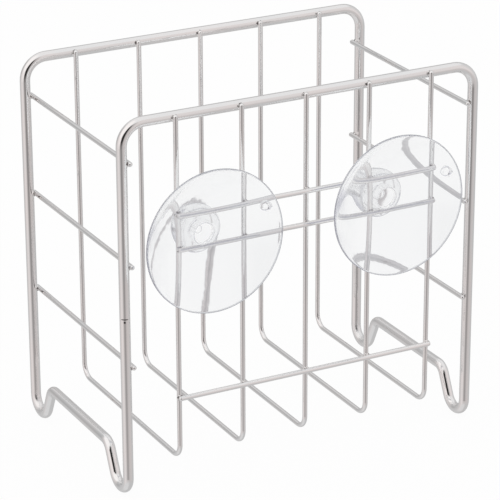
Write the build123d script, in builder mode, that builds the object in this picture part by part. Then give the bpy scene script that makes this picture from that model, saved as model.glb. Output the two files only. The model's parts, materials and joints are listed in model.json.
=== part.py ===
from build123d import *
from math import radians, tan
import os

# A welded wire sponge basket for a sink, with two suction cups on its front rails.
# Millimetres. The origin is on the floor, under the middle of the whole object.
# +X is to the right seen from the cups' side, -Y is the side of the cups, +Z is up.

os.makedirs("parts", exist_ok=True)

# Wire stock
frame_wire = 4.0  # diameter of the heavy wire
basket_wire = 1.9  # diameter of the thin wire
weld_sink = 0.15  # how far two crossing wires are pressed into each other at a weld
wire_end_rounding = 0.5  # on the edge of a cut end

# Frame loop, between the centre lines of its wire
frame_width = 148.0
frame_depth = 86.5
top_bar_height = 148.3
side_rail_height = 16.2
top_corner_radius = 8.7
foot_radius = 6.2
foot_rise_angle = 64.5  # slope of the wire as it climbs from a foot to the side rail
rail_bend_radius = 4.9

# Basket wires
basket_wire_count = 5
basket_wire_margin = 20.4  # from the centre of a leg to the nearest basket wire
basket_wire_bend = 5.5
basket_floor_height = 12.9
basket_wire_overrun = 1.1  # above the centre of a top bar

# Straight wires
side_wire_drop = 15.1  # from a top bar down to the upper side wire
side_wire_pitch = 40.0
side_wire_overrun = 1.7  # beyond the centre of a leg
tie_wire_height = 38.3
cup_rail_height = 98.4  # the lower cup rail
neck_play = 3.3  # free height beside a cup's neck, between the two cup rails
rail_overrun = 0.8  # beyond the centre of an outer upright

# Suction cups
cup_radius = 27.75
cup_length = 10.5  # from the foot of the neck to the lip
lip_edge = 0.7  # thickness of the rim
lip_land = 0.5  # width of the flat ring that meets the wall
dish_depth = 7.15
back_bulge = 1.7  # how far the back of the dish swells out of a straight cone
neck_radius = 4.0
head_radius = 9.0
head_edge = 3.4
head_length = 6.2
head_edge_fillet = 1.4
neck_fillet = 1.0
head_crown = 0.7  # how far the back of the head swells out of a straight cone
dimple_radius = 1.7
dimple_depth = 0.7
nub_radius = 1.95
nub_height = 2.8
nub_rounding = 0.4
nub_inset = 3.65  # from the rim in to the nub's centre
nub_angle = 22.0  # above the horizontal
cup_clearance = 0.3  # between a cup and the wires that hold it
left_cup_inset = 3.75  # the left cup's distance from the stop at its left
right_cup_inset = 0.5

# Depths, from the plane of the lips back to the rear of the frame
wire_step = (frame_wire + basket_wire) / 2 - weld_sink
rail_depth = cup_length + cup_clearance + basket_wire / 2
upright_depth = rail_depth + basket_wire - weld_sink
overall_depth = upright_depth + wire_step + frame_depth + frame_wire / 2

lip_y = -overall_depth / 2
neck_foot_y = lip_y + cup_length
rail_y = lip_y + rail_depth
front_upright_y = lip_y + upright_depth
front_y = front_upright_y + wire_step
rear_y = front_y + frame_depth
rear_upright_y = rear_y - wire_step
middle_y = (front_y + rear_y) / 2

# Places across the width
leg_x = frame_width / 2
side_wire_x = leg_x - wire_step
outer_upright_x = leg_x - basket_wire_margin
basket_wire_pitch = 2 * outer_upright_x / (basket_wire_count - 1)
upright_places = [index * basket_wire_pitch - outer_upright_x for index in range(basket_wire_count)]
neck_stop = basket_wire / 2 + neck_radius + cup_clearance
cup_places = {
    "left": upright_places[0] + neck_stop + left_cup_inset,
    "right": upright_places[-2] + neck_stop + right_cup_inset,
}

# Heights of the straight wires
side_wire_heights = {
    level: top_bar_height - side_wire_drop - row * side_wire_pitch
    for row, level in enumerate(["upper", "middle", "lower"])
}
front_wire_heights = {
    "front_tie_wire": tie_wire_height,
    "cup_rail_lower": cup_rail_height,
    "cup_rail_upper": cup_rail_height + basket_wire + 2 * neck_radius + neck_play,
}

# The neck reaches past the rails and the uprights, and rests just above the lower rail.
neck_length = front_upright_y + basket_wire / 2 + cup_clearance - neck_foot_y
cup_height = cup_rail_height + basket_wire / 2 + cup_clearance + neck_radius


def finish(piece, name):
    """Label a finished piece and write its file."""
    piece.part.label = name
    export_step(piece.part, f"parts/{name}.step")


def straight_wire(start, end):
    """A cut length of thin wire between two points, with its ends rounded."""
    run = Vector(end) - Vector(start)
    with BuildPart() as wire:
        with BuildSketch(Plane(origin=start, z_dir=run)):
            Circle(basket_wire / 2)
        extrude(amount=run.length)
        fillet(wire.edges().filter_by(GeomType.CIRCLE), wire_end_rounding)
    return wire


# Frame loop: one half runs from the middle of the left side rail down to the front left foot, over
# the front and back to the middle of the right side rail. The rear half mirrors it. Before its bends
# are rounded, the rising run of a foot meets the line of the leg below the floor.
foot_corner_z = frame_wire / 2 + foot_radius - foot_radius / tan(radians(90 - foot_rise_angle) / 2)
rail_corner_y = front_y + (side_rail_height - foot_corner_z) / tan(radians(foot_rise_angle))
half_loop_corners = [
    (-leg_x, middle_y, side_rail_height),
    (-leg_x, rail_corner_y, side_rail_height),
    (-leg_x, front_y, foot_corner_z),
    (-leg_x, front_y, top_bar_height),
    (leg_x, front_y, top_bar_height),
    (leg_x, front_y, foot_corner_z),
    (leg_x, rail_corner_y, side_rail_height),
    (leg_x, middle_y, side_rail_height),
]
left_bends = [rail_bend_radius, foot_radius, top_corner_radius]

with BuildPart() as frame_loop:
    with BuildLine() as half_loop:
        FilletPolyline(half_loop_corners, radius=left_bends + left_bends[::-1])
    with BuildSketch(Plane(origin=half_loop.line @ 0, z_dir=half_loop.line % 0)):
        Circle(frame_wire / 2)
    sweep()
    mirror(about=Plane.XZ.offset(-middle_y))
finish(frame_loop, "frame_loop")

# Basket wires: each runs down the back, under the basket and up the front.
basket_wire_top = top_bar_height + basket_wire_overrun
for number, x in enumerate(upright_places, start=1):
    with BuildPart() as basket_wire_piece:
        with BuildLine() as wire_path:
            FilletPolyline(
                (x, front_upright_y, basket_wire_top),
                (x, front_upright_y, basket_floor_height),
                (x, rear_upright_y, basket_floor_height),
                (x, rear_upright_y, basket_wire_top),
                radius=basket_wire_bend,
            )
        with BuildSketch(Plane(origin=wire_path.line @ 0, z_dir=wire_path.line % 0)):
            Circle(basket_wire / 2)
        sweep()
        fillet(basket_wire_piece.faces().sort_by(Axis.Z)[-2:].edges(), wire_end_rounding)
    finish(basket_wire_piece, f"basket_wire_{number}")

# Side wires, on the inner side of the legs
for side, x in {"left": -side_wire_x, "right": side_wire_x}.items():
    for level, z in side_wire_heights.items():
        wire = straight_wire((x, front_y - side_wire_overrun, z), (x, rear_y + side_wire_overrun, z))
        finish(wire, f"side_wire_{side}_{level}")

# Straight wires across the front uprights
rail_end_x = outer_upright_x + rail_overrun
for name, z in front_wire_heights.items():
    finish(straight_wire((-rail_end_x, rail_y, z), (rail_end_x, rail_y, z)), name)

# Suction cups: a turned body, a nub on the back of the dish, and the hollow that grips the wall.
# In the profile, x is the radius and y runs back from the foot of the neck.
head_back = neck_length + head_length
dish_rim_radius = cup_radius - lip_land
dish_sphere_radius = (dish_rim_radius**2 + dish_depth**2) / (2 * dish_depth)
corner_fillets = [
    ((neck_radius, 0), neck_fillet),
    ((neck_radius, neck_length), neck_fillet),
    ((head_radius, neck_length), head_edge_fillet),
    ((head_radius, neck_length + head_edge), head_edge_fillet),
]

# The nub's height is counted from the straight cone between the foot of the neck and the rim.
nub_distance = cup_radius - nub_inset
nub_share = (nub_distance - neck_radius) / (cup_radius - neck_radius)
nub_top = nub_height - (cup_length - lip_edge) * nub_share
nub_root = lip_edge / 2 - cup_length

for side, x in cup_places.items():
    neck_foot = Vector(x, neck_foot_y, cup_height)
    with BuildPart() as cup:
        with BuildSketch(Plane(origin=neck_foot, x_dir=(1, 0, 0), z_dir=(0, 0, 1))) as half_profile:
            with BuildLine():
                head_outline = Polyline(
                    (0, -cup_length),
                    (0, head_back - dimple_depth),
                    (dimple_radius, head_back - dimple_depth),
                    (dimple_radius, head_back),
                )
                SagittaArc(head_outline @ 1, (head_radius, neck_length + head_edge), head_crown)
                body_outline = Polyline(
                    (head_radius, neck_length + head_edge),
                    (head_radius, neck_length),
                    (neck_radius, neck_length),
                    (neck_radius, 0),
                )
                SagittaArc(body_outline @ 1, (cup_radius, lip_edge - cup_length), back_bulge)
                Polyline((cup_radius, lip_edge - cup_length), (cup_radius, -cup_length), (0, -cup_length))
            make_face()
            for corner, radius in corner_fillets:
                fillet(half_profile.vertices().sort_by_distance(corner)[0], radius)
        revolve(axis=Axis(neck_foot, (0, 1, 0)))

        nub_centre = neck_foot + Vector(nub_distance, nub_top, 0).rotate(Axis.Y, -nub_angle)
        with BuildSketch(Plane(origin=nub_centre, z_dir=(0, -1, 0))):
            Circle(nub_radius)
        extrude(amount=nub_top - nub_root)
        fillet(cup.faces().sort_by_distance(nub_centre)[0].edges(), nub_rounding)

        with Locations(neck_foot + Vector(0, dish_depth - cup_length - dish_sphere_radius, 0)):
            Sphere(dish_sphere_radius, mode=Mode.SUBTRACT)
    finish(cup, f"suction_cup_{side}")
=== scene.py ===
"""Looks for an open wire sponge caddy with two clear suction cups.

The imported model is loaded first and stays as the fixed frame: its wires keep their shape and get
polished steel, and the two cups are turned again as finer pieces in clear soft plastic. Lengths are
in metres, in the row frame: +X right seen from the cups' side, -Y towards the wall, +Z up.
"""

import json
import logging
import math
from dataclasses import dataclass
from enum import Enum
from typing import Any, Iterable

import bpy
from mathutils import Matrix, Vector


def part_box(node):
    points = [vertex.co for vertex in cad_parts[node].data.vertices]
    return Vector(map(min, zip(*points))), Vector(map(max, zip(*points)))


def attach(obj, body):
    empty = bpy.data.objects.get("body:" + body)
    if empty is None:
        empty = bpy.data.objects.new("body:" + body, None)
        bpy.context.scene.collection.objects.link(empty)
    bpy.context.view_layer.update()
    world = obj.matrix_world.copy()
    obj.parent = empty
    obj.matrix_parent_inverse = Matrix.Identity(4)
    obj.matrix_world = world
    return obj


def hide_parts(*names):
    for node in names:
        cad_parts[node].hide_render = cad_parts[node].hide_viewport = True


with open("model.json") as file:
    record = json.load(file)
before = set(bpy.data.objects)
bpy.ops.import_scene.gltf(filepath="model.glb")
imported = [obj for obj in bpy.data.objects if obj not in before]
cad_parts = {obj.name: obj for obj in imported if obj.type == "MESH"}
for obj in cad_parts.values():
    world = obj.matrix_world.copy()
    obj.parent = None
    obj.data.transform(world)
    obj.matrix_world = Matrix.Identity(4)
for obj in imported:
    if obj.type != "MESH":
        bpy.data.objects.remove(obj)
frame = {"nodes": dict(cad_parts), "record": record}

MM = 0.001
PHOTO_SIDE = 500
SENSOR_WIDTH = 36.0
WHITE = (1.0, 1.0, 1.0, 1.0)

log = logging.getLogger("sponge_caddy")

Point = tuple[float, float]


# Shader maths


class Flow:
    """A number that flows between shader nodes and takes part in plain arithmetic."""

    def __init__(self, sheet: "NodeSheet", socket: bpy.types.NodeSocket) -> None:
        """Wrap a socket.

        Args:
            sheet: The node sheet that the socket belongs to.
            socket: An output socket that gives one number.
        """
        self.sheet = sheet
        self.socket = socket

    def math(self, operation: str, *others: "Flow | float") -> "Flow":
        """Add a Math node that starts with this number.

        Args:
            operation: The Math node's operation.
            others: What its further inputs take.

        Returns:
            The node's result.
        """
        inputs = {0: self, **{index: other for index, other in enumerate(others, start=1)}}
        return self.sheet.node("ShaderNodeMath", {"operation": operation}, inputs)

    def reflected(self, operation: str, first: float) -> "Flow":
        """Add a Math node whose first input is a plain number and whose second is this one.

        Args:
            operation: The Math node's operation.
            first: The plain number.

        Returns:
            The node's result.
        """
        return self.sheet.node("ShaderNodeMath", {"operation": operation}, {0: first, 1: self})

    def __add__(self, other: "Flow | float") -> "Flow":
        """Sum."""
        return self.math("ADD", other)

    __radd__ = __add__

    def __sub__(self, other: "Flow | float") -> "Flow":
        """Difference."""
        return self.math("SUBTRACT", other)

    def __rsub__(self, other: float) -> "Flow":
        """Difference from a plain number."""
        return self.reflected("SUBTRACT", other)

    def __mul__(self, other: "Flow | float") -> "Flow":
        """Product."""
        return self.math("MULTIPLY", other)

    __rmul__ = __mul__

    def __truediv__(self, other: "Flow | float") -> "Flow":
        """Quotient."""
        return self.math("DIVIDE", other)

    def __abs__(self) -> "Flow":
        """The number without its sign."""
        return self.math("ABSOLUTE")

    def smooth(self, low: float, high: float) -> "Flow":
        """Rise softly from 0 at low to 1 at high, or fall where high is the smaller.

        Args:
            low: Where the result is 0.
            high: Where the result is 1.

        Returns:
            The share between the two.
        """
        if high < low:
            return 1.0 - self.smooth(high, low)
        return self.sheet.node(
            "ShaderNodeMapRange",
            {"interpolation_type": "SMOOTHSTEP"},
            {"Value": self, "From Min": low, "From Max": high},
        )


class NodeSheet:
    """A node tree that is filled through one method."""

    def __init__(self, tree: bpy.types.NodeTree) -> None:
        """Empty the tree and keep it.

        Args:
            tree: The node tree of a material or of the world.
        """
        self.tree = tree
        tree.nodes.clear()

    def node(
        self,
        kind: str,
        settings: dict[str, Any] | None = None,
        inputs: dict[str | int, Any] | None = None,
        output: str | int = 0,
    ) -> Flow:
        """Add a node.

        Args:
            kind: The node's type.
            settings: Its settings, which are set before its sockets. A ramp's stops are under "stops".
            inputs: The values or links of its sockets, by name or by place.
            output: The output that is handed on.

        Returns:
            That output.
        """
        made = self.tree.nodes.new(kind)
        for name, value in (settings or {}).items():
            if name == "stops":
                self._set_stops(made.color_ramp, value)
            else:
                setattr(made, name, value)
        for name, value in (inputs or {}).items():
            if isinstance(value, Flow):
                self.tree.links.new(value.socket, made.inputs[name])
            else:
                made.inputs[name].default_value = value
        return Flow(self, made.outputs[output]) if made.outputs else Flow(self, None)

    @staticmethod
    def _set_stops(ramp: bpy.types.ColorRamp, stops: list[tuple[float, Iterable[float]]]) -> None:
        """Give a ramp its stops, each a place and a colour."""
        ramp.interpolation = "EASE"
        while len(ramp.elements) > 1:
            ramp.elements.remove(ramp.elements[-1])
        ramp.elements[0].position = stops[0][0]
        ramp.elements[0].color = (*stops[0][1], 1.0)
        for place, colour in stops[1:]:
            ramp.elements.new(place).color = (*colour, 1.0)

    def vector(self, operation: str, first: Any, second: Any, output: str | int = 0) -> Flow:
        """Add a Vector Math node with two inputs."""
        return self.node("ShaderNodeVectorMath", {"operation": operation}, {0: first, 1: second}, output)

    def dot(self, first: Flow, second: Iterable[float]) -> Flow:
        """The scalar product of a flowing vector and a fixed one."""
        return self.vector("DOT_PRODUCT", first, tuple(second), "Value")

    def noise(self, place: Flow, scale: float, detail: float) -> Flow:
        """Add a Noise Texture node."""
        return self.node("ShaderNodeTexNoise", inputs={"Vector": place, "Scale": scale, "Detail": detail})

    def mix(self, share: Flow | float, first: Any, second: Any) -> Flow:
        """Mix two colours.

        Args:
            share: How much of the second colour shows.
            first: A colour or a link.
            second: A colour or a link.

        Returns:
            The mixed colour.
        """
        return self.node("ShaderNodeMix", {"data_type": "RGBA"}, {0: share, 6: first, 7: second}, 2)


def new_material(name: str) -> tuple[bpy.types.Material, NodeSheet]:
    """Make an empty material.

    Args:
        name: The material's name.

    Returns:
        The material and its node sheet.
    """
    material = bpy.data.materials.new(name)
    material.use_nodes = True
    return material, NodeSheet(material.node_tree)


# Finishes


class Run(Enum):
    """The way that a straight wire runs, which its drawing marks follow."""

    ACROSS = (0.02, 1.0, 1.0)
    DEEP = (1.0, 0.02, 1.0)
    UPRIGHT = (1.0, 1.0, 0.02)
    BENT = (0.35, 0.35, 0.35)


@dataclass(frozen=True)
class PolishedSteel:
    """Bright polished stainless wire, with faint drawing marks and a slow drift from warm to cool."""

    warm: tuple[float, float, float] = (0.825, 0.81, 0.805)
    cool: tuple[float, float, float] = (0.805, 0.805, 0.805)
    roughness: float = 0.08
    roughness_drift: float = 0.04
    scuff_roughness: float = 0.3
    scuff_depth: tuple[float, float] = (38.0 * MM, 42.0 * MM)
    scuff_height: tuple[float, float] = (11.0 * MM, 7.0 * MM)
    drift_scale: float = 70.0
    mark_scale: float = 2600.0
    mark_strength: float = 0.05
    mark_depth: float = 0.02 * MM

    def make(self, run: Run, seam: "ButtSeam | None" = None) -> bpy.types.Material:
        """Make the material for wires that run one way.

        Args:
            run: The way that the wires run.
            seam: The butt weld that closes the wire, where it has one.

        Returns:
            The material.
        """
        material, sheet = new_material(f"polished_steel_{run.name.lower()}")
        place = sheet.node("ShaderNodeTexCoord", output="Object")
        drift = sheet.noise(place, self.drift_scale, 2.0)
        along = sheet.vector("MULTIPLY", place, run.value)
        marks = sheet.noise(along, self.mark_scale, 3.0)
        colour = sheet.mix(drift.smooth(0.35, 0.65), (*self.cool, 1.0), (*self.warm, 1.0))
        if seam:
            colour = sheet.mix(seam.share(sheet, place), colour, (*seam.colour, 1.0))
        bump = sheet.node(
            "ShaderNodeBump",
            inputs={"Strength": self.mark_strength, "Distance": self.mark_depth, "Height": marks},
        )
        roughness = self.roughness + (drift - 0.5) * self.roughness_drift
        if run is Run.BENT:
            roughness = roughness + self._scuff(sheet, place) * (self.scuff_roughness - self.roughness)
        surface = sheet.node(
            "ShaderNodeBsdfPrincipled",
            inputs={"Base Color": colour, "Metallic": 1.0, "Roughness": roughness, "Normal": bump},
        )
        sheet.node("ShaderNodeOutputMaterial", inputs={"Surface": surface})
        return material

    def _scuff(self, sheet: NodeSheet, place: Flow) -> Flow:
        """How far the polish is worn off, which it is where the rear feet rub on the sink."""
        rear = sheet.dot(place, (0.0, 1.0, 0.0)).smooth(*self.scuff_depth)
        return rear * sheet.dot(place, (0.0, 0.0, 1.0)).smooth(*self.scuff_height)


@dataclass(frozen=True)
class ButtSeam:
    """The ground-down seam where the frame loop is welded to itself, left as a dark line and a pit."""

    leg: Vector
    side: Vector
    colour: tuple[float, float, float] = (0.06, 0.055, 0.055)
    height: float = 73.5 * MM
    half_width: float = 0.26 * MM
    pit_drop: float = 1.15 * MM
    pit_radius: float = 0.55 * MM
    leg_radius: float = 2.0 * MM

    def share(self, sheet: NodeSheet, place: Flow) -> Flow:
        """Where the seam shows.

        Args:
            sheet: The node sheet of the steel.
            place: The shaded point.

        Returns:
            1 in the seam and 0 beside it.
        """
        aside = sheet.dot(sheet.vector("SUBTRACT", place, tuple(self.leg)), tuple(self.side))
        above = sheet.dot(place, (0.0, 0.0, 1.0)) - self.height
        facing = aside.smooth(self.leg_radius * 0.6, self.leg_radius * 0.95)
        line = (facing * self.half_width - abs(above)).smooth(0.0, self.half_width / 2)
        pit_place = self.leg + self.side * self.leg_radius + Vector((0, 0, self.height - self.pit_drop))
        distance = sheet.vector("DISTANCE", place, tuple(pit_place), "Value")
        return line.math("MAXIMUM", distance.smooth(self.pit_radius, self.pit_radius / 2))


@dataclass(frozen=True)
class WeldSteel:
    """The small set bead where two wires are welded: bright, uneven and a little darker in its dips, where
    its colour holds painted shade.
    """

    bright: tuple[float, float, float] = (0.86, 0.85, 0.84)
    # The colour of the bead's dips, which is painted shade.
    dark: tuple[float, float, float] = (0.16, 0.14, 0.14)
    roughness: float = 0.16
    grain_scale: float = 1100.0
    grain_strength: float = 0.6
    grain_depth: float = 0.15 * MM

    def make(self) -> bpy.types.Material:
        """Make the material."""
        material, sheet = new_material("weld_steel")
        place = sheet.node("ShaderNodeTexCoord", output="Object")
        grain = sheet.noise(place, self.grain_scale, 3.0)
        bump = sheet.node(
            "ShaderNodeBump",
            inputs={"Strength": self.grain_strength, "Distance": self.grain_depth, "Height": grain},
        )
        surface = sheet.node(
            "ShaderNodeBsdfPrincipled",
            inputs={
                # Painted shade: the colour darkens where the grain dips.
                "Base Color": sheet.mix(grain.smooth(0.4, 0.55), (*self.dark, 1.0), (*self.bright, 1.0)),
                "Metallic": 1.0,
                "Roughness": self.roughness + (grain - 0.5) * 0.2,
                "Normal": bump,
            },
        )
        sheet.node("ShaderNodeOutputMaterial", inputs={"Surface": surface})
        return material


@dataclass(frozen=True)
class ClearVinyl:
    """Clear soft plastic, faintly cool: glossy on the dish, duller on its head and at the parting line,
    where the rim's edge is also tinted grey as painted shade.
    """

    tint: tuple[float, float, float] = (0.93, 0.935, 0.94)
    # The rim's edge is tinted grey: painted shade of the rim line.
    rim_shade_tint: tuple[float, float, float] = (0.48, 0.49, 0.52)
    edge_width: float = 0.4 * MM
    ior: float = 1.5
    roughness: float = 0.03
    edge_roughness: float = 0.18
    head_roughness: float = 0.12
    head_start: float = 4.0 * MM
    ripple_scale: float = 300.0
    ripple_depth: float = 0.01 * MM

    def make(self, name: str, axis: Vector, radius: float) -> bpy.types.Material:
        """Make the material for one cup.

        Args:
            name: The material's name.
            axis: The point on the cup's axis, which runs along Y, at the foot of its neck.
            radius: The cup's radius.

        Returns:
            The material.
        """
        material, sheet = new_material(name)
        place = sheet.node("ShaderNodeTexCoord", output="Object")
        from_axis = sheet.vector("SUBTRACT", place, tuple(axis))
        spoke = sheet.vector("MULTIPLY", from_axis, (1.0, 0.0, 1.0))
        distance = sheet.node("ShaderNodeVectorMath", {"operation": "LENGTH"}, {0: spoke}, "Value")
        edge = distance.smooth(radius - self.edge_width, radius - self.edge_width / 2)
        head = sheet.dot(from_axis, (0.0, 1.0, 0.0)).smooth(self.head_start, self.head_start + MM)
        gloss = self.roughness + edge * (self.edge_roughness - self.roughness)
        ripple = sheet.noise(place, self.ripple_scale, 1.0)
        bump = sheet.node(
            "ShaderNodeBump", inputs={"Strength": 1.0, "Distance": self.ripple_depth, "Height": ripple}
        )
        surface = sheet.node(
            "ShaderNodeBsdfPrincipled",
            inputs={
                # Painted shade: a grey tint along the rim's edge.
                "Base Color": sheet.mix(edge, (*self.tint, 1.0), (*self.rim_shade_tint, 1.0)),
                "Roughness": gloss + head * (self.head_roughness - self.roughness),
                "IOR": self.ior,
                "Transmission Weight": 1.0,
                "Normal": bump,
            },
        )
        sheet.node("ShaderNodeOutputMaterial", inputs={"Surface": surface})
        return material


# Modelling helpers


def deselect_all() -> None:
    """Leave edit mode and clear the selection, which the loaded frame fills."""
    if bpy.context.object and bpy.context.object.mode != "OBJECT":
        bpy.ops.object.mode_set(mode="OBJECT")
    bpy.ops.object.select_all(action="DESELECT")


def take(piece: bpy.types.Object) -> None:
    """Select one piece alone and make it active."""
    deselect_all()
    piece.select_set(True)
    bpy.context.view_layer.objects.active = piece


def settle(piece: bpy.types.Object, place: Matrix) -> None:
    """Put a piece's place into its mesh, so that its object stays at the origin.

    Args:
        piece: The piece, modelled around its own centre.
        place: Where it stands in the row frame.
    """
    take(piece)
    piece.matrix_world = place
    bpy.context.view_layer.update()
    bpy.ops.object.transform_apply(location=True, rotation=True, scale=True)


def arc_points(start: Point, end: Point, bulge: float, steps: int) -> list[Point]:
    """Points along a shallow arc between two points, the first left out.

    Args:
        start: Where the arc starts.
        end: Where it ends.
        bulge: How far its middle stands to the right of the straight line from start to end.
        steps: How many points are made.

    Returns:
        The points, with the end as the last.
    """
    chord = Vector(end) - Vector(start)
    aside = Vector((chord.y, -chord.x)).normalized()
    radius = (chord.length**2 / 4 + bulge**2) / (2 * abs(bulge))
    half_turn = math.asin(min(1.0, chord.length / (2 * radius)))
    sign = math.copysign(1.0, bulge)
    centre = Vector(start) + chord / 2 - aside * sign * (radius - abs(bulge))
    points = []
    for step in range(1, steps + 1):
        turn = half_turn * (2 * step / steps - 1)
        along = chord.normalized() * radius * math.sin(turn)
        points.append(tuple(centre + along + aside * sign * radius * math.cos(turn)))
    return points


class Section:
    """A half section drawn corner by corner, each with its own rounding."""

    def __init__(self) -> None:
        """Start with no corners."""
        self.corners: list[tuple[Vector, float]] = []

    def add(self, corner: Point, rounding: float = 0.0) -> None:
        """Add a corner.

        Args:
            corner: Its place.
            rounding: The radius of its rounding, or 0 where it stays sharp.
        """
        self.corners.append((Vector(corner), rounding))

    def points(self, steps: int = 8) -> list[Point]:
        """Draw the section with its roundings.

        Args:
            steps: How many runs a rounding has.

        Returns:
            The points in order. Those that a rounding has passed are left out.
        """
        arcs = {index: self._arc(index, steps) for index, (_, radius) in enumerate(self.corners) if radius}
        drawn = []
        for index, (corner, _) in enumerate(self.corners):
            if index in arcs:
                drawn.extend(arcs[index][1])
            elif all((corner - self.corners[other][0]).length > arcs[other][0] for other in arcs):
                drawn.append(tuple(corner))
        return drawn

    def _arc(self, index: int, steps: int) -> tuple[float, list[Point]]:
        """How far a corner's rounding reaches along its sides, and the points of its arc."""
        corner, radius = self.corners[index]
        to_last = (self.corners[index - 1][0] - corner).normalized()
        to_next = (self.corners[index + 1][0] - corner).normalized()
        half_opening = to_last.angle(to_next) / 2
        reach = radius / math.tan(half_opening)
        centre = corner + (to_last + to_next).normalized() * radius / math.sin(half_opening)
        first, last = corner + to_last * reach - centre, corner + to_next * reach - centre
        sweep = first.angle(last)
        arc = []
        for step in range(steps + 1):
            share = step / steps
            spoke = first * math.sin((1 - share) * sweep) + last * math.sin(share * sweep)
            arc.append(tuple(centre + spoke / math.sin(sweep)))
        return reach, arc


# The wire rack


@dataclass
class WireRack:
    """The welded wire rack: its nodes keep their shape, get their steel, and gain their weld beads."""

    body: str = "rack"
    heavy_radius: float = 2.0 * MM
    thin_radius: float = 0.95 * MM
    weld_width: float = 1.25 * MM
    weld_thickness: float = 0.5 * MM
    dome_sink: float = 0.65 * MM

    def middle(self, node: str) -> Vector:
        """The middle of a node's box."""
        low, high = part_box(node)
        return (low + high) / 2

    def dress_wires(self, steel: PolishedSteel) -> None:
        """Give every wire its steel.

        Args:
            steel: The finish.
        """
        low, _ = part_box("frame_loop")
        leg = Vector((low.x + self.heavy_radius, low.y + self.heavy_radius, 0.0))
        towards_camera = PhotoCamera().back().to_2d().normalized().to_3d()
        seams = {Run.BENT: ButtSeam(leg, towards_camera, leg_radius=self.heavy_radius)}
        finishes = {run: steel.make(run, seams.get(run)) for run in Run}
        for name in frame["record"]["behaviour"]["bodies"][self.body]:
            if name.startswith("side_wire"):
                run = Run.DEEP
            elif name in ("cup_rail_upper", "cup_rail_lower", "front_tie_wire"):
                run = Run.ACROSS
            elif name == "frame_loop":
                run = Run.BENT
            else:
                run = Run.UPRIGHT
            piece = frame["nodes"][name]
            for slot in piece.material_slots:
                slot.material = finishes[run]
            log.info("%s: polished steel, %s", name, run.name.lower())

    def crossings(self) -> list[tuple[str, Vector, Vector, Vector]]:
        """Every place where two wires are welded.

        Returns:
            For each, a name, the middle of the joint, the way from one wire to the other, and the way
            along the second wire.
        """
        loop_low, loop_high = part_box("frame_loop")
        bar_z = loop_high.z - self.heavy_radius
        bars = {"front": loop_low.y + self.heavy_radius, "rear": loop_high.y - self.heavy_radius}
        legs = {"left": loop_low.x + self.heavy_radius, "right": loop_high.x - self.heavy_radius}
        along_x, along_y, along_z = Vector((1, 0, 0)), Vector((0, 1, 0)), Vector((0, 0, 1))
        found = []
        uprights = sorted(name for name in frame["nodes"] if name.startswith("basket_wire"))
        for name in uprights:
            x = self.middle(name).x
            for side, bar_y in bars.items():
                joint = Vector((x, bar_y - self.heavy_radius, bar_z))
                found.append((f"weld_{name}_{side}", joint, -along_y, along_z))
            for rail in ("cup_rail_upper", "cup_rail_lower", "front_tie_wire"):
                rail_middle = self.middle(rail)
                joint = Vector((x, rail_middle.y + self.thin_radius, rail_middle.z))
                found.append((f"weld_{name}_{rail}", joint, -along_y, along_x))
        for side, leg_x in legs.items():
            inward = along_x if side == "left" else -along_x
            for level in ("upper", "middle", "lower"):
                wire_z = self.middle(f"side_wire_{side}_{level}").z
                for end, bar_y in bars.items():
                    joint = Vector((leg_x, bar_y, wire_z)) + inward * self.heavy_radius
                    found.append((f"weld_side_wire_{side}_{level}_{end}", joint, inward, along_y))
        return found

    def cut_ends(self) -> list[tuple[str, Vector, Vector]]:
        """Every cut end of a thin wire.

        Returns:
            For each, a name, the middle of the end and the way out of the wire.
        """
        along_x, along_y, along_z = Vector((1, 0, 0)), Vector((0, 1, 0)), Vector((0, 0, 1))
        along = {"side_wire": along_y, "cup_rail": along_x, "front_tie": along_x}
        found = []
        for name in sorted(frame["nodes"]):
            low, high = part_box(name)
            for start, way in along.items():
                if name.startswith(start):
                    reach = way * (high - low).dot(way) / 2
                    found.append((f"end_{name}_first", self.middle(name) - reach, -way))
                    found.append((f"end_{name}_last", self.middle(name) + reach, way))
            if name.startswith("basket_wire"):
                for side, y in (("front", low.y + self.thin_radius), ("rear", high.y - self.thin_radius)):
                    found.append((f"end_{name}_{side}", Vector((self.middle(name).x, y, high.z)), along_z))
        return found

    def add_welds(self, finish: WeldSteel) -> None:
        """Model one bead and set a copy of it at every crossing.

        Args:
            finish: The beads' finish.
        """
        size = Vector((self.weld_width, self.weld_width * 1.15, self.weld_thickness))
        bead = self._ball("weld_bead", size, finish.make())
        for name, joint, across, along in self.crossings():
            aside = along.cross(across).normalized()
            turn = Matrix((aside, along, across)).transposed().to_4x4()
            self._set_copy(bead, name, Matrix.Translation(joint) @ turn)
        bpy.data.objects.remove(bead)
        log.info("welds: %d beads", len(self.crossings()))

    def add_wire_ends(self, steel: PolishedSteel) -> None:
        """Dome every cut end of the thin wires.

        Args:
            steel: The finish.
        """
        radius = self.thin_radius - 0.005 * MM
        dome = self._ball("wire_end", Vector((radius, radius, radius)), steel.make(Run.BENT))
        for name, end, way in self.cut_ends():
            self._set_copy(dome, name, Matrix.Translation(end - way * self.dome_sink))
        bpy.data.objects.remove(dome)
        log.info("wire ends: %d domes", len(self.cut_ends()))

    @staticmethod
    def _ball(name: str, radii: Vector, material: bpy.types.Material) -> bpy.types.Object:
        """A ball with three radii, to be copied."""
        deselect_all()
        bpy.ops.mesh.primitive_uv_sphere_add(segments=24, ring_count=14, radius=1.0)
        ball = bpy.context.object
        ball.name = name
        bpy.ops.object.mode_set(mode="EDIT")
        bpy.ops.mesh.select_all(action="SELECT")
        bpy.ops.transform.resize(value=tuple(radii), center_override=(0, 0, 0))
        bpy.ops.object.mode_set(mode="OBJECT")
        bpy.ops.object.shade_smooth()
        ball.data.materials.append(material)
        return ball

    def _set_copy(self, model: bpy.types.Object, name: str, place: Matrix) -> None:
        """Set a copy of a small piece in its place on the rack."""
        copy = model.copy()
        copy.data = model.data.copy()
        copy.name = name
        bpy.context.scene.collection.objects.link(copy)
        settle(copy, place)
        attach(copy, self.body)


# The suction cups


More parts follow.
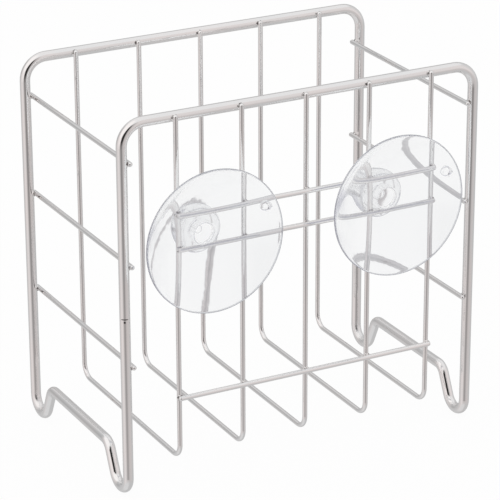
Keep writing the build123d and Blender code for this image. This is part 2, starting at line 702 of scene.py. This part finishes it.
@dataclass
class SuctionCup:
    """One clear suction cup, turned around its own axis: dish, neck, head and release nub."""

    node: str
    body: str
    radius: float = 27.75 * MM
    length: float = 10.5 * MM
    lip_edge: float = 0.7 * MM
    lip_land: float = 0.5 * MM
    lip_rounding: float = 0.24 * MM
    dish_depth: float = 7.15 * MM
    back_bulge: float = 1.7 * MM
    neck_radius: float = 4.0 * MM
    neck_length: float = 4.25 * MM
    neck_rounding: float = 1.0 * MM
    head_radius: float = 9.0 * MM
    head_edge: float = 3.4 * MM
    head_length: float = 6.2 * MM
    head_crown: float = 0.7 * MM
    head_rounding: float = 1.4 * MM
    dimple_radius: float = 1.7 * MM
    dimple_depth: float = 0.7 * MM
    dimple_rounding: float = 0.35 * MM
    nub_radius: float = 1.95 * MM
    nub_height: float = 2.8 * MM
    nub_rounding: float = 0.4 * MM
    nub_inset: float = 3.65 * MM
    nub_angle: float = 22.0
    turns: int = 160

    def outline(self) -> list[Point]:
        """The half section, as radius and place along the axis, from the hollow round to the head.

        Returns:
            The points. The foot of the neck is at 0 and the lip at minus the length.
        """
        lip = -self.length
        hollow_rim = self.radius - self.lip_land
        sphere = (hollow_rim**2 + self.dish_depth**2) / (2 * self.dish_depth)
        rim_back = (self.radius, lip + self.lip_edge)
        head_back = self.neck_length + self.head_length
        crown_start = (self.head_radius, self.neck_length + self.head_edge)
        section = Section()
        for step in range(36):
            reach = hollow_rim * step / 36
            section.add((reach, lip + self.dish_depth - sphere + math.sqrt(sphere**2 - reach**2)))
        section.add((hollow_rim, lip), self.lip_rounding)
        section.add((self.radius, lip), self.lip_rounding)
        section.add(rim_back, self.lip_rounding)
        for point in arc_points(rim_back, (self.neck_radius, 0.0), self.back_bulge, 40)[:-1]:
            section.add(point)
        section.add((self.neck_radius, 0.0), self.neck_rounding)
        section.add((self.neck_radius, self.neck_length), self.neck_rounding)
        section.add((self.head_radius, self.neck_length), self.head_rounding)
        section.add(crown_start, self.head_rounding)
        for point in arc_points(crown_start, (self.dimple_radius, head_back), self.head_crown, 20)[:-1]:
            section.add(point)
        section.add((self.dimple_radius, head_back), self.dimple_rounding / 2)
        section.add((self.dimple_radius, head_back - self.dimple_depth), self.dimple_rounding)
        section.add((0.0, head_back - self.dimple_depth))
        return section.points()

    def build(self, finish: ClearVinyl) -> bpy.types.Object:
        """Turn the cup, set the nub on it and put it in the node's place.

        Args:
            finish: The cup's finish.

        Returns:
            The finished piece.
        """
        low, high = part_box(self.node)
        axis_x, axis_z = (low.x + high.x) / 2, (low.z + high.z) / 2
        neck_foot_y = low.y + self.length
        piece = self._turn()
        piece.name = f"{self.node}_clear"
        nub = self._nub()
        self._fuse(piece, nub)
        take(piece)
        bpy.ops.object.shade_smooth_by_angle(angle=math.radians(50))
        piece.data.materials.clear()
        axis = Vector((axis_x, neck_foot_y, axis_z))
        piece.data.materials.append(finish.make(f"clear_vinyl_{self.body}", axis, self.radius))
        settle(piece, Matrix.Translation(axis))
        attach(piece, self.body)
        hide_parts(self.node)
        log.info("%s: %d faces", piece.name, len(piece.data.polygons))
        return piece

    def _turn(self) -> bpy.types.Object:
        """Draw the half section by extruding a point, and spin it about the Y axis."""
        outline = self.outline()
        deselect_all()
        bpy.ops.mesh.primitive_plane_add(size=self.length, location=(0, 0, 0))
        piece = bpy.context.object
        bpy.ops.object.mode_set(mode="EDIT")
        bpy.ops.mesh.select_all(action="SELECT")
        bpy.ops.mesh.merge(type="CENTER")
        radius, place = outline[0]
        bpy.ops.transform.translate(value=(radius, place, 0))
        for (r0, y0), (r1, y1) in zip(outline[:-1], outline[1:]):
            bpy.ops.mesh.extrude_region_move(TRANSFORM_OT_translate={"value": (r1 - r0, y1 - y0, 0)})
        bpy.ops.mesh.select_all(action="SELECT")
        bpy.ops.mesh.spin(steps=self.turns, angle=2 * math.pi, center=(0, 0, 0), axis=(0, 1, 0))
        bpy.ops.mesh.select_all(action="SELECT")
        bpy.ops.mesh.remove_doubles(threshold=0.001 * MM)
        bpy.ops.mesh.normals_make_consistent(inside=False)
        bpy.ops.object.mode_set(mode="OBJECT")
        return piece

    def _nub(self) -> bpy.types.Object:
        """Model the release nub: a short round stud with a softened top."""
        distance = self.radius - self.nub_inset
        share = (distance - self.neck_radius) / (self.radius - self.neck_radius)
        wall_back = -(self.length - self.lip_edge) * share
        top, root = wall_back + self.nub_height, wall_back - self.lip_edge / 2
        angle = math.radians(self.nub_angle)
        centre = Vector((distance * math.cos(angle), (top + root) / 2, distance * math.sin(angle)))
        deselect_all()
        bpy.ops.mesh.primitive_cylinder_add(
            vertices=32,
            radius=self.nub_radius,
            depth=top - root,
            location=centre,
            rotation=(math.pi / 2, 0, 0),
        )
        nub = bpy.context.object
        bpy.ops.object.transform_apply(location=True, rotation=True, scale=True)
        bpy.ops.object.mode_set(mode="EDIT")
        bpy.ops.mesh.select_all(action="DESELECT")
        bpy.ops.object.mode_set(mode="OBJECT")
        for edge in nub.data.edges:
            ends = [nub.data.vertices[index].co.y for index in edge.vertices]
            edge.select = min(ends) > top - 0.01 * MM
        bpy.ops.object.mode_set(mode="EDIT")
        bpy.ops.mesh.bevel(offset=self.nub_rounding, segments=4)
        bpy.ops.object.mode_set(mode="OBJECT")
        return nub

    def _fuse(self, piece: bpy.types.Object, nub: bpy.types.Object) -> None:
        """Join the nub to the cup as one closed skin."""
        take(piece)
        union = piece.modifiers.new("nub", "BOOLEAN")
        union.operation = "UNION"
        union.solver = "EXACT"
        union.object = nub
        bpy.ops.object.modifier_apply(modifier=union.name)
        bpy.data.objects.remove(nub)


# The studio


@dataclass(frozen=True)
class PhotoCamera:
    """The photograph's camera, as a fit to the rack's own lines gives it."""

    azimuth: float = -27.548
    elevation: float = 21.824
    roll: float = -0.24
    distance: float = 1067.26 * MM
    target: tuple[float, float, float] = (-1.865 * MM, 7.15 * MM, 72.025 * MM)
    focal_pixels: float = 2728.44
    axis_pixel: tuple[float, float] = (244.49, 248.36)

    def back(self) -> Vector:
        """The way from the object to the camera."""
        a, e = math.radians(self.azimuth), math.radians(self.elevation)
        return Vector((math.sin(a) * math.cos(e), -math.cos(a) * math.cos(e), math.sin(e)))

    def add(self) -> None:
        """Add the camera and make it the scene's own."""
        back = self.back()
        a, r = math.radians(self.azimuth), math.radians(self.roll)
        level_right = Vector((math.cos(a), math.sin(a), 0.0))
        level_up = back.cross(level_right)
        right = level_right * math.cos(r) + level_up * math.sin(r)
        up = level_up * math.cos(r) - level_right * math.sin(r)
        data = bpy.data.cameras.new("photo_camera")
        data.sensor_width = SENSOR_WIDTH
        data.lens = self.focal_pixels / PHOTO_SIDE * SENSOR_WIDTH
        data.shift_x = (PHOTO_SIDE / 2 - self.axis_pixel[0]) / PHOTO_SIDE
        data.shift_y = (self.axis_pixel[1] - PHOTO_SIDE / 2) / PHOTO_SIDE
        data.clip_start, data.clip_end = 0.01, 50.0
        camera = bpy.data.objects.new("photo_camera", data)
        bpy.context.scene.collection.objects.link(camera)
        turn = Matrix((right, up, back)).transposed().to_4x4()
        camera.matrix_world = Matrix.Translation(Vector(self.target) + back * self.distance) @ turn
        bpy.context.scene.camera = camera


Colour = tuple[float, float, float]
WARM: Colour = (1.03, 0.972, 0.962)
NEUTRAL: Colour = (1.0, 0.995, 0.998)


def grey(level: float, tint: Colour) -> Colour:
    """A grey of that level, with a tint."""
    return tuple(level * part for part in tint)


@dataclass(frozen=True)
class Ring:
    """One ring of the surround: how high it stands, and its colours by degrees from the opening."""

    height: float
    stops: dict[float, Colour]


FLOOR_RING = Ring(
    -0.75,
    {
        -180.0: grey(0.62, NEUTRAL),
        -130.0: grey(0.68, NEUTRAL),
        -90.0: grey(0.8, NEUTRAL),
        -10.0: grey(0.8, NEUTRAL),
        50.0: grey(0.64, NEUTRAL),
        180.0: grey(0.62, NEUTRAL),
    },
)
SILL_RING = Ring(
    -0.52,
    {
        -180.0: grey(0.6, NEUTRAL),
        -125.0: grey(0.66, NEUTRAL),
        -95.0: grey(0.73, WARM),
        -65.0: grey(0.86, WARM),
        -40.0: grey(0.78, WARM),
        -14.0: grey(0.62, WARM),
        12.0: grey(0.6, WARM),
        36.0: grey(0.63, WARM),
        60.0: grey(0.66, WARM),
        120.0: grey(0.62, NEUTRAL),
        180.0: grey(0.6, NEUTRAL),
    },
)
LOW_RING = Ring(
    -0.43,
    {
        -180.0: grey(0.6, NEUTRAL),
        -125.0: grey(0.66, NEUTRAL),
        -95.0: grey(0.73, WARM),
        -65.0: grey(0.86, WARM),
        -40.0: grey(0.78, WARM),
        -14.0: grey(0.46, WARM),
        0.0: grey(0.37, WARM),
        12.0: grey(0.43, WARM),
        36.0: grey(0.62, WARM),
        60.0: grey(0.66, WARM),
        120.0: grey(0.62, NEUTRAL),
        180.0: grey(0.6, NEUTRAL),
    },
)
KNEE_RING = Ring(
    -0.33,
    {
        -180.0: grey(0.58, NEUTRAL),
        -125.0: grey(0.62, NEUTRAL),
        -95.0: grey(0.73, WARM),
        -65.0: grey(0.86, WARM),
        -40.0: grey(0.78, WARM),
        -14.0: grey(0.38, WARM),
        0.0: grey(0.26, WARM),
        12.0: grey(0.33, WARM),
        36.0: grey(0.6, WARM),
        60.0: grey(0.66, WARM),
        120.0: grey(0.62, NEUTRAL),
        180.0: grey(0.58, NEUTRAL),
    },
)
EYE_RING = Ring(
    0.0,
    {
        -180.0: grey(0.6, NEUTRAL),
        -150.0: grey(0.56, NEUTRAL),
        -120.0: grey(0.5, NEUTRAL),
        -95.0: grey(0.75, WARM),
        -65.0: grey(0.95, WARM),
        -32.0: grey(1.0, WARM),
        -17.0: grey(0.04, WARM),
        14.0: grey(0.03, WARM),
        24.0: grey(0.5, WARM),
        44.0: grey(0.8, WARM),
        70.0: grey(0.86, WARM),
        120.0: grey(0.7, NEUTRAL),
        180.0: grey(0.6, NEUTRAL),
    },
)
BROW_RING = Ring(
    0.45,
    {
        -180.0: grey(0.6, NEUTRAL),
        -146.0: grey(0.78, NEUTRAL),
        -120.0: grey(0.58, NEUTRAL),
        -95.0: grey(0.8, WARM),
        -60.0: grey(1.0, WARM),
        -32.0: grey(1.0, WARM),
        -17.0: grey(0.03, WARM),
        14.0: grey(0.02, WARM),
        24.0: grey(0.5, WARM),
        44.0: grey(0.82, WARM),
        70.0: grey(0.86, WARM),
        120.0: grey(0.74, NEUTRAL),
        180.0: grey(0.6, NEUTRAL),
    },
)
ROOF_RING = Ring(0.75, {-180.0: grey(0.95, NEUTRAL), 180.0: grey(0.95, NEUTRAL)})


@dataclass(frozen=True)
class Studio:
    """A plain bright studio: a pale floor, a soft surround, one dark opening and one soft window."""

    opening_azimuth: float = -27.548
    window_azimuth: float = -80.0
    window_elevation: float = 50.0
    window_light: Colour = (1.12, 1.09, 1.08)
    window_edge: tuple[float, float] = (0.72, 0.9)
    roof_start: float = 0.55
    through_grey: Colour = (0.6, 0.6, 0.66)
    behind_edge: tuple[float, float] = (-0.35, 0.25)
    ground_edge: tuple[float, float] = (-0.05, -0.25)
    veil: Colour = (0.78, 0.78, 0.82)
    veil_share: float = 0.45
    floor_size: float = 6.0
    floor_colour: Colour = (0.93, 0.93, 0.93)
    floor_white_share: float = 0.95
    bounces: int = 32

    def add_surround(self) -> None:
        """Light the scene with a soft surround, and show it white to the camera.

        Wires that are seen through a cup reflect the surround with a veil over its dark opening.
        """
        world = bpy.data.worlds.new("studio")
        world.use_nodes = True
        bpy.context.scene.world = world
        sheet = NodeSheet(world.node_tree)
        way = sheet.node("ShaderNodeTexCoord", output="Generated")
        a = math.radians(self.opening_azimuth)
        ahead = sheet.dot(way, (math.sin(a), -math.cos(a), 0.0))
        aside = sheet.dot(way, (math.cos(a), math.sin(a), 0.0))
        height = sheet.dot(way, (0.0, 0.0, 1.0))
        turn = aside.math("ARCTAN2", ahead) / math.tau + 0.5
        rings = (FLOOR_RING, SILL_RING, LOW_RING, KNEE_RING, EYE_RING, BROW_RING, ROOF_RING)
        tent = self._band(sheet, rings[0], turn)
        for below, ring in zip(rings, rings[1:]):
            start = self.roof_start if ring is ROOF_RING else below.height
            tent = sheet.mix(height.smooth(start, ring.height), tent, self._band(sheet, ring, turn))
        a, e = math.radians(self.window_azimuth), math.radians(self.window_elevation)
        window = sheet.dot(way, (math.sin(a) * math.cos(e), -math.cos(a) * math.cos(e), math.sin(e)))
        tent = sheet.mix(window.smooth(*self.window_edge), tent, (*self.window_light, 1.0))
        passed = sheet.node("ShaderNodeLightPath", output="Transmission Depth").smooth(0.0, 1.0)
        tent = sheet.mix(passed * self.veil_share, tent, (*self.veil, 1.0))
        path = sheet.node("ShaderNodeLightPath", output="Is Camera Ray")
        through = sheet.node("ShaderNodeLightPath", output="Is Transmission Ray")
        behind = sheet.dot(way, -PhotoCamera().back()).smooth(*self.behind_edge)
        pale = behind.math("MAXIMUM", height.smooth(*self.ground_edge))
        backdrop = sheet.mix(pale, (*self.through_grey, 1.0), WHITE)
        shown = sheet.mix(path, sheet.mix(through, tent, backdrop), WHITE)
        background = sheet.node("ShaderNodeBackground", inputs={"Color": shown, "Strength": 1.0})
        sheet.node("ShaderNodeOutputWorld", inputs={"Surface": background})

    @staticmethod
    def _band(sheet: NodeSheet, ring: Ring, turn: Flow) -> Flow:
        """A ring's colour, by the turn from the opening."""
        stops = [(degrees / 360 + 0.5, colour) for degrees, colour in ring.stops.items()]
        return sheet.node("ShaderNodeValToRGB", {"stops": stops}, {"Fac": turn})

    def let_light_wander(self) -> None:
        """Let light bounce often enough inside the clear cups, whose walls trap it like a light guide."""
        cycles = bpy.context.scene.cycles
        cycles.max_bounces = cycles.glossy_bounces = cycles.transmission_bounces = self.bounces

    def add_floor(self) -> None:
        """Lay a pale floor that shows white and keeps the object's shadow."""
        deselect_all()
        bpy.ops.mesh.primitive_plane_add(size=self.floor_size, location=(0, 0, 0))
        floor = bpy.context.object
        floor.name = "studio_floor"
        material, sheet = new_material("pale_floor")
        matt = sheet.node("ShaderNodeBsdfDiffuse", inputs={"Color": (*self.floor_colour, 1.0)})
        white = sheet.node("ShaderNodeEmission", inputs={"Color": WHITE, "Strength": 1.0})
        clear = sheet.node("ShaderNodeBsdfTransparent")
        camera = sheet.node("ShaderNodeLightPath", output="Is Camera Ray")
        through = sheet.node("ShaderNodeLightPath", output="Is Transmission Ray")
        glossy = sheet.node("ShaderNodeLightPath", output="Is Glossy Ray")
        share = (camera + through) * self.floor_white_share
        pale = sheet.node("ShaderNodeMixShader", inputs={0: share, 1: matt, 2: white})
        surface = sheet.node("ShaderNodeMixShader", inputs={0: glossy, 1: pale, 2: clear})
        sheet.node("ShaderNodeOutputMaterial", inputs={"Surface": surface})
        floor.data.materials.append(material)


def main() -> None:
    """Build and dress everything in order."""
    logging.basicConfig(level=logging.INFO, format="%(name)s: %(message)s")
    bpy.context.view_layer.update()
    bpy.context.scene.view_settings.view_transform = "Standard"

    rack = WireRack()
    rack.dress_wires(PolishedSteel())
    rack.add_welds(WeldSteel())
    rack.add_wire_ends(PolishedSteel())

    for node, body in (("suction_cup_left", "left_cup"), ("suction_cup_right", "right_cup")):
        SuctionCup(node, body).build(ClearVinyl())

    studio = Studio()
    studio.add_surround()
    studio.add_floor()
    studio.let_light_wander()
    PhotoCamera().add()


if __name__ == "__main__":
    main()
